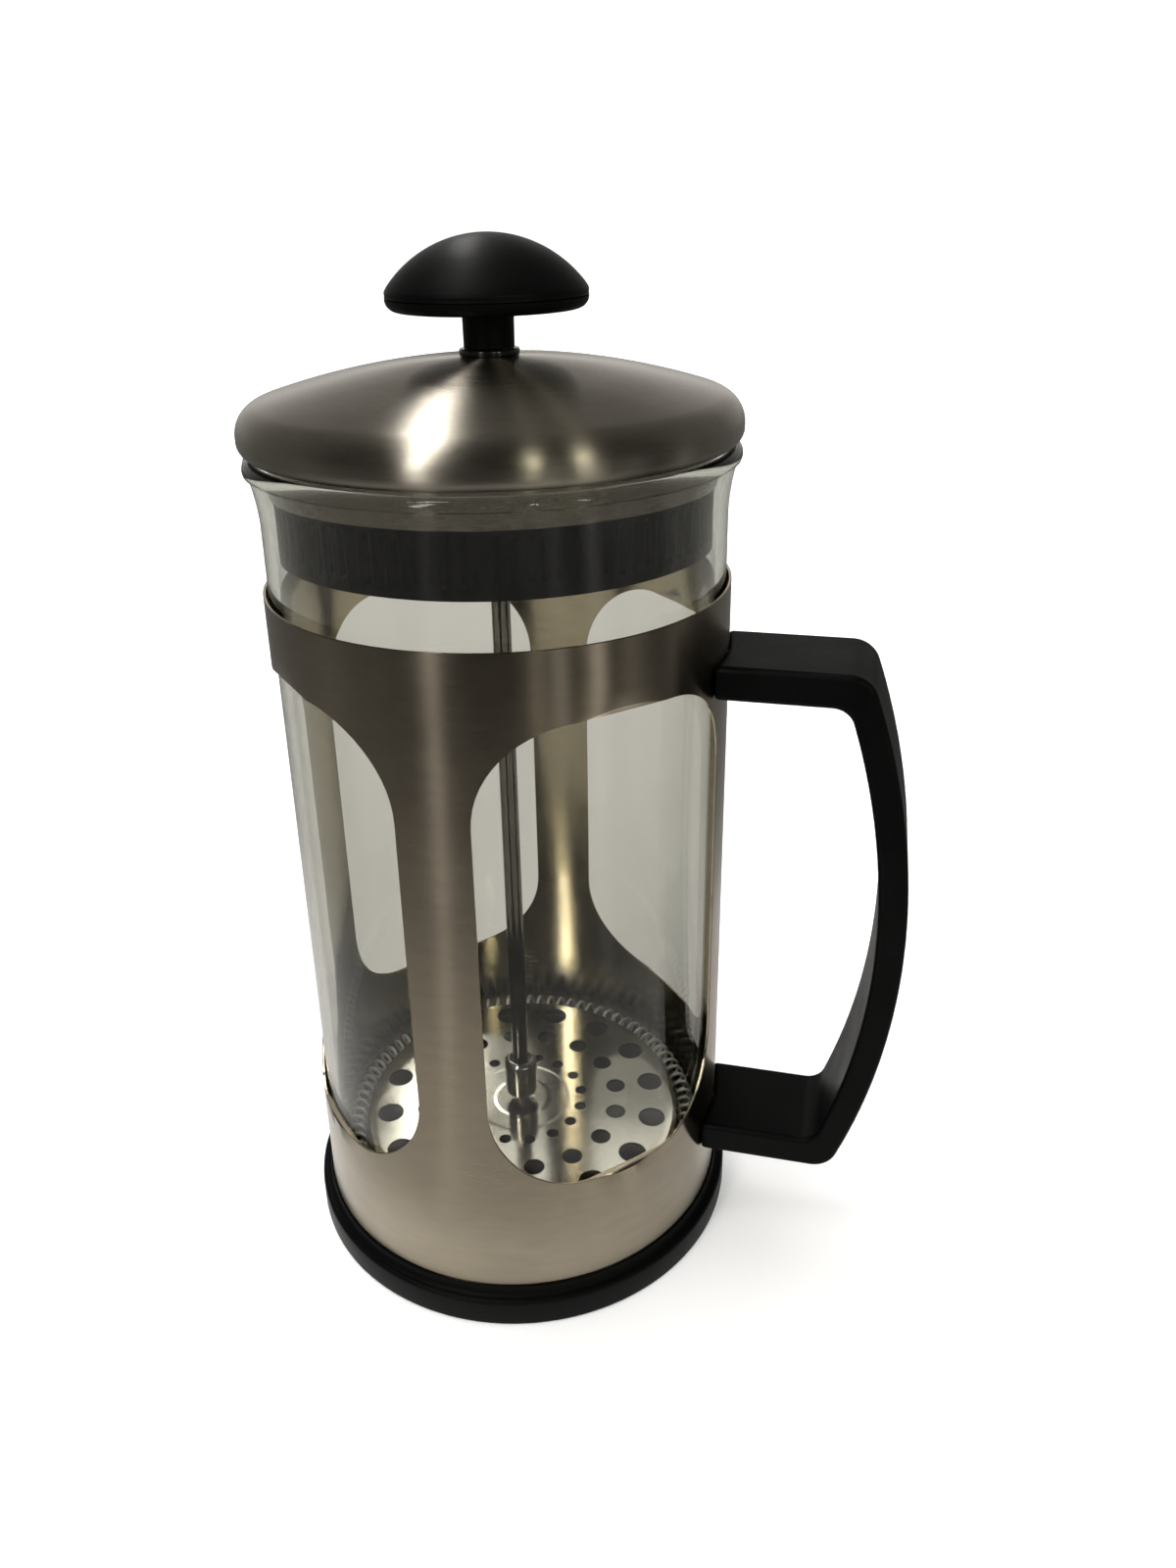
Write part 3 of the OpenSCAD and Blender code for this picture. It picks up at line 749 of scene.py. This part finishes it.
def filter_plate():
    """The pressed plate: a flat field with rings of holes, and an edge that is turned down all round."""
    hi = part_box("top_plate")[1]
    edge, z = hi.y, hi.z
    bend, skirt_low = 1.3 * MM, z - 3.6 * MM
    flat_edge = edge - bend
    bore = radius("plunger_rod") + 0.1 * MM
    centres = [Vector(p) for ring, _, _ in HOLE_RINGS for p in circle(ring, HOLES)]
    loops = [circle(flat_edge, 160), circle(bore, 48)]
    loops += [circle(hole, sides, *p) for ring, hole, sides in HOLE_RINGS for p in circle(ring, HOLES)]
    inside = []
    grid = (4, 5.5, 6.2, 6.5, 6.8, 7.1, 7.4, 9, 11, 11.3, 11.6, 11.9, 12.2, 13.2)  # closer where the ring is sunk
    for ring in grid + (17.5, 19.5, 21, 27.5, 29, 36.6):
        for p in map(Vector, circle(ring * MM, max(48, int(ring * 4)))):
            if ring in grid or all((p - centre).length >= 3.9 * MM for centre in centres):
                inside.append(p)
    points, edges = [], []
    for loop in loops:
        start, count = len(points), len(loop)
        points += [Vector(p) for p in loop]
        edges += [(start + i, start + (i + 1) % count) for i in range(count)]
    flat, _, triangles, *_ = delaunay_2d_cdt(points + inside, edges, [], 0, 1e-8)
    kept = []
    for t in triangles:
        middle = sum((flat[i] for i in t), Vector((0, 0))) / 3
        if bore * 0.99 <= middle.length <= flat_edge and not in_hole(middle):
            kept.append(t)
    size = len(flat)
    verts = [(p.x, p.y, plate_height(p.length, z)) for p in flat]
    verts += [(p.x, p.y, plate_height(p.length, z) - PLATE_SHEET) for p in flat]
    faces = [tuple(t) for t in kept] + [tuple(size + i for i in reversed(t)) for t in kept]
    rim = []
    for a, b in open_edges(kept):
        if min(flat[a].length, flat[b].length) > flat_edge - 1e-6:
            rim.append((a, b))
        else:
            faces.append((a, b, size + b, size + a))
    curl = arc(flat_edge, z - bend, bend, 90, 0, 6)[1:] + [(edge, skirt_low), (edge - PLATE_SHEET, skirt_low)]
    curl += arc(flat_edge, z - bend, bend - PLATE_SHEET, 0, 90, 6)[:-1]
    chains = {}

    def chain(i):
        """The vertices of the turned-down edge, from the top of rim point i round to its underside."""
        if i not in chains:
            out = flat[i].normalized()
            first = len(verts)
            verts.extend((out.x * r, out.y * r, height) for r, height in curl)
            chains[i] = [i, *range(first, len(verts)), size + i]
        return chains[i]

    for a, b in rim:
        here, ahead = chain(a), chain(b)
        for j in range(len(here) - 1):
            faces.append((here[j], ahead[j], ahead[j + 1], here[j + 1]))
    piece = add("filter_plate_pressed", verts, faces, STEEL_PLATE, "filter", ["top_plate"], 40)
    bevel(piece, 0.1 * MM, 2, 40)


def rim_spring():
    """A close helix of wire bent into a ring round the filter plate."""
    lo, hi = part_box("rim_spring")
    coil = (hi.z - lo.z) / 2
    ring = hi.y - coil
    middle_z = (hi.z + lo.z) / 2
    wire, turns, steps, sides = 0.46 * MM, 88, 24, 8
    coil -= wire
    total = turns * steps
    path = []
    for i in range(total):
        around, along = tau * i / total, tau * i / steps
        r = ring + coil * math.cos(along)
        path.append(Vector((r * math.cos(around), r * math.sin(around), middle_z + coil * math.sin(along))))
    verts, faces = [], []
    for i in range(total):
        ahead = (path[(i + 1) % total] - path[i - 1]).normalized()
        around = tau * i / total
        centre = Vector((ring * math.cos(around), ring * math.sin(around), middle_z))
        out = (path[i] - centre).normalized()
        side = ahead.cross(out).normalized()
        out = side.cross(ahead)
        for j in range(sides):
            a = tau * j / sides
            verts.append(path[i] + (out * math.cos(a) + side * math.sin(a)) * wire)
    for i in range(total):
        for j in range(sides):
            a, b, k = i * sides, (i + 1) % total * sides, (j + 1) % sides
            faces.append((a + j, a + k, b + k, b + j))
    add("rim_spring_coiled", verts, faces, SPRING_STEEL, "filter", ["rim_spring"], 70)


# ---- carried-over CAD nodes ----

KEPT = {
    "upper_screw": SCREW_STEEL, "lower_screw": SCREW_STEEL, "upper_insert": BRASS, "lower_insert": BRASS,
    "lid_core": BLACK, "bush_nut": SCREW_STEEL, "knob_insert": BRASS,
    "mesh_disc": MESH, "cross_plate": STEEL_PLATE, "filter_nut": BRASS,
}

for node, material in KEPT.items():
    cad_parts[node].data.materials.clear()
    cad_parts[node].data.materials.append(material)


# ---- studio ----

FACING = math.radians(17.7)  # the camera's azimuth round the press
AIM = Vector((0, 0, 0.15))  # the point that every lamp faces
WINDOW_AWAY = 1.3  # metres from that point
WARM = (1, 0.97, 0.78)


def disc(name, inner, outer, height, rings, spokes, material):
    """A flat ring on the floor, with more rings near its middle."""
    verts, faces = [], []
    for i in range(rings + 1):
        reach = inner + (outer - inner) * (i / rings) ** 2
        verts += [(x, y, height) for x, y in circle(reach, spokes)]
    for i in range(rings):
        for j in range(spokes):
            k = (j + 1) % spokes
            a, b = i * spokes, (i + 1) * spokes
            faces.append((a + j, b + j, b + k, a + k))
    if inner == 0:  # one polygon closes the middle
        faces = [f for f in faces if f[0] >= spokes] + [tuple(spokes + j for j in range(spokes))]
    mesh = bpy.data.meshes.new(name)
    mesh.from_pydata(verts, [], faces)
    mesh.materials.append(material)
    made = bpy.data.objects.new(name, mesh)
    bpy.context.scene.collection.objects.link(made)
    return made


def room_glow(x, y):
    """How bright the room looks in the steel, low down: a lit tabletop that fades out, with window glints."""
    reach = math.hypot(x, y)
    side = math.degrees(math.atan2(y, x)) + 90 - math.degrees(FACING)
    side = (side + 180) % 360 - 180
    lit, fade = 0.09, 0.095  # metres: where the tabletop starts to fade, and how far that takes
    table = 0.7 / (1 + (max(0.0, reach - lit) / fade) ** 2.8)
    far = 0.015 + 0.13 * min(1.0, abs(side) / 110) ** 2
    glints = (  # side and width in degrees, brightness
        (-32, 3.5, 0.4), (-85, 14, 0.08), (-60, 12, 0.04), (14, 4, 0.18), (25, 4, 0.5), (43, 4, 0.85),
        (60, 8, 0.18), (90, 6, 0.2),
    )
    for at, width, strength in glints:
        far += strength * math.exp(-(((side - at) / width) ** 2))
    return min(1.0, table + far * min(1.0, reach / 0.3))


def studio():
    """A pale floor, soft lights, and a reflection ring that only mirror-like surfaces see."""
    reach = 4.0
    paper = Shader("floor_paper")
    paper.set(Roughness=0.95, Specular_IOR_Level=0.05)
    # painted shade: seen through the glass, the paper is painted greyer and glows less than where it is seen
    # directly
    through = paper.node("LightPath").outputs["Is Transmission Ray"]
    paper.colour(paper.ramp(through, 0, 1, (0.86, 0.86, 0.86), (0.44, 0.43, 0.42)))
    paper.link(paper.ramp(through, 0, 1, (1, 1, 1), (0.54, 0.53, 0.515)), paper.base.inputs["Emission Color"])
    away = paper.length(paper.place())
    paper.link(paper.span(away, 0.2, 1.6, 0.34, 1.0), paper.base.inputs["Emission Strength"])
    disc("floor", 0, reach, 0, 30, 64, paper.material)

    glow = bpy.data.materials.new("reflection_ring")
    glow.use_nodes = True
    tree = glow.node_tree
    tree.nodes.remove(tree.nodes["Principled BSDF"])
    shade = tree.nodes.new("ShaderNodeAttribute")
    shade.attribute_name = "glow"
    emit = tree.nodes.new("ShaderNodeEmission")
    tree.links.new(shade.outputs["Color"], emit.inputs["Color"])
    tree.links.new(emit.outputs[0], tree.nodes["Material Output"].inputs["Surface"])
    ring = disc("reflection_ring", 70 * MM, reach, 1.5 * MM, 120, 240, glow)
    colours = ring.data.color_attributes.new("glow", "FLOAT_COLOR", "POINT")
    for vertex, colour in zip(ring.data.vertices, colours.data):
        level = room_glow(vertex.co.x, vertex.co.y)
        colour.color = (level, level * 0.975, level * 0.94, 1)
    ring.visible_camera = ring.visible_diffuse = ring.visible_transmission = False
    ring.visible_shadow = ring.visible_volume_scatter = False

    # darker in front of the press, brightest behind it; plain pale where it is seen directly, and greyer where it
    # is seen straight through the glass, which is painted shade
    world = bpy.data.worlds.new("room")
    world.use_nodes = True
    tree = world.node_tree
    background = tree.nodes["Background"]
    background.inputs["Strength"].default_value = 1.0
    place = tree.nodes.new("ShaderNodeTexCoord")
    turn_in = tree.nodes.new("ShaderNodeMapping")
    turn_in.vector_type = "POINT"
    turn_in.inputs["Rotation"].default_value = (0, 0, -FACING)
    split = tree.nodes.new("ShaderNodeSeparateXYZ")
    ramp = tree.nodes.new("ShaderNodeValToRGB")
    remap = tree.nodes.new("ShaderNodeMapRange")
    remap.inputs["From Min"].default_value = -1
    remap.inputs["From Max"].default_value = 1
    stops = ((0.0, 0.04), (0.35, 0.05), (0.55, 0.14), (0.8, 0.2), (0.95, 0.46), (1.0, 0.8))  # position, level
    ends = ramp.color_ramp.elements
    for _ in range(len(stops) - 2):
        ends.new(0.5)
    for end, (at, level) in zip(ends, stops):
        end.position = at
        end.color = (level, level * 0.975, level * 0.93, 1)
    tree.links.new(place.outputs["Generated"], turn_in.inputs["Vector"])
    tree.links.new(turn_in.outputs[0], split.inputs[0])
    tree.links.new(split.outputs["Y"], remap.inputs["Value"])
    tree.links.new(remap.outputs[0], ramp.inputs[0])
    path = tree.nodes.new("ShaderNodeLightPath")
    straight = tree.nodes.new("ShaderNodeMath")
    straight.operation = "LESS_THAN"
    straight.inputs[1].default_value = 0.5
    tree.links.new(path.outputs["Glossy Depth"], straight.inputs[0])
    behind_glass = tree.nodes.new("ShaderNodeMath")
    behind_glass.operation = "MULTIPLY"
    tree.links.new(path.outputs["Is Transmission Ray"], behind_glass.inputs[0])
    tree.links.new(straight.outputs[0], behind_glass.inputs[1])
    colour = ramp.outputs[0]
    # painted shade: rays that came straight through the glass see a grey room colour
    for factor, seen in (
        (behind_glass.outputs[0], (0.84, 0.81, 0.795, 1)), (path.outputs["Is Camera Ray"], (1.05, 1.05, 1.05, 1)),
    ):
        mix = tree.nodes.new("ShaderNodeMix")
        mix.data_type = "RGBA"
        under, over = (i for i in mix.inputs if i.type == "RGBA")
        over.default_value = seen
        tree.links.new(colour, under)
        tree.links.new(factor, mix.inputs["Factor"])
        colour = next(o for o in mix.outputs if o.type == "RGBA")
    tree.links.new(colour, background.inputs["Color"])
    bpy.context.scene.world = world

    def light(name, side, rise, away, width, height, radiance, colour, mirrored=True):
        """A panel that faces the press: side and rise in degrees from where the camera stands."""
        data = bpy.data.lights.new(name, "AREA")
        data.shape = "RECTANGLE"
        data.size, data.size_y = width, height
        data.energy = radiance * math.pi * width * height
        data.color = colour
        lamp = bpy.data.objects.new(name, data)
        around, up = math.radians(side - 90) + FACING, math.radians(rise)
        place = Vector((math.cos(around) * math.cos(up), math.sin(around) * math.cos(up), math.sin(up))) * away
        lamp.location = place + AIM
        lamp.rotation_euler = (-place).to_track_quat("-Z", "Y").to_euler()
        lamp.visible_glossy = mirrored
        bpy.context.scene.collection.objects.link(lamp)

    for i, (side, rise, wide, tall, radiance) in enumerate((
        (-34, 28, 0.13, 0.9, 14), (-50, 63, 0.12, 0.4, 17), (-78, 73, 0.3, 0.12, 17), (-127, 73, 0.34, 0.12, 17),
        (-162, 58, 0.1, 0.3, 20), (-168, 48, 0.08, 0.2, 17), (-172, 39, 0.07, 0.16, 13), (-175, 31, 0.05, 0.16, 7),
    )):
        light(f"left_window_{i}", side, rise, WINDOW_AWAY, wide, tall, radiance, (1, 0.98, 0.96))
    light("right_window", 38, 18, WINDOW_AWAY, 0.09, 0.4, 14, WARM)
    light("middle_window", 16, 18, WINDOW_AWAY, 0.09, 0.34, 14, WARM)
    light("overhead", 180, 78, 2.0, 3.0, 3.0, 1.6, (1, 1, 1), False)
    bpy.context.scene.view_settings.view_transform = "Standard"


base_ring()
sleeve_sheet()
handle()
beaker()
lid_shell()
lid_skirt()
strainer()
guide_bush()
knob_parts()
rod()
hub()
filter_plate()
rim_spring()
studio()
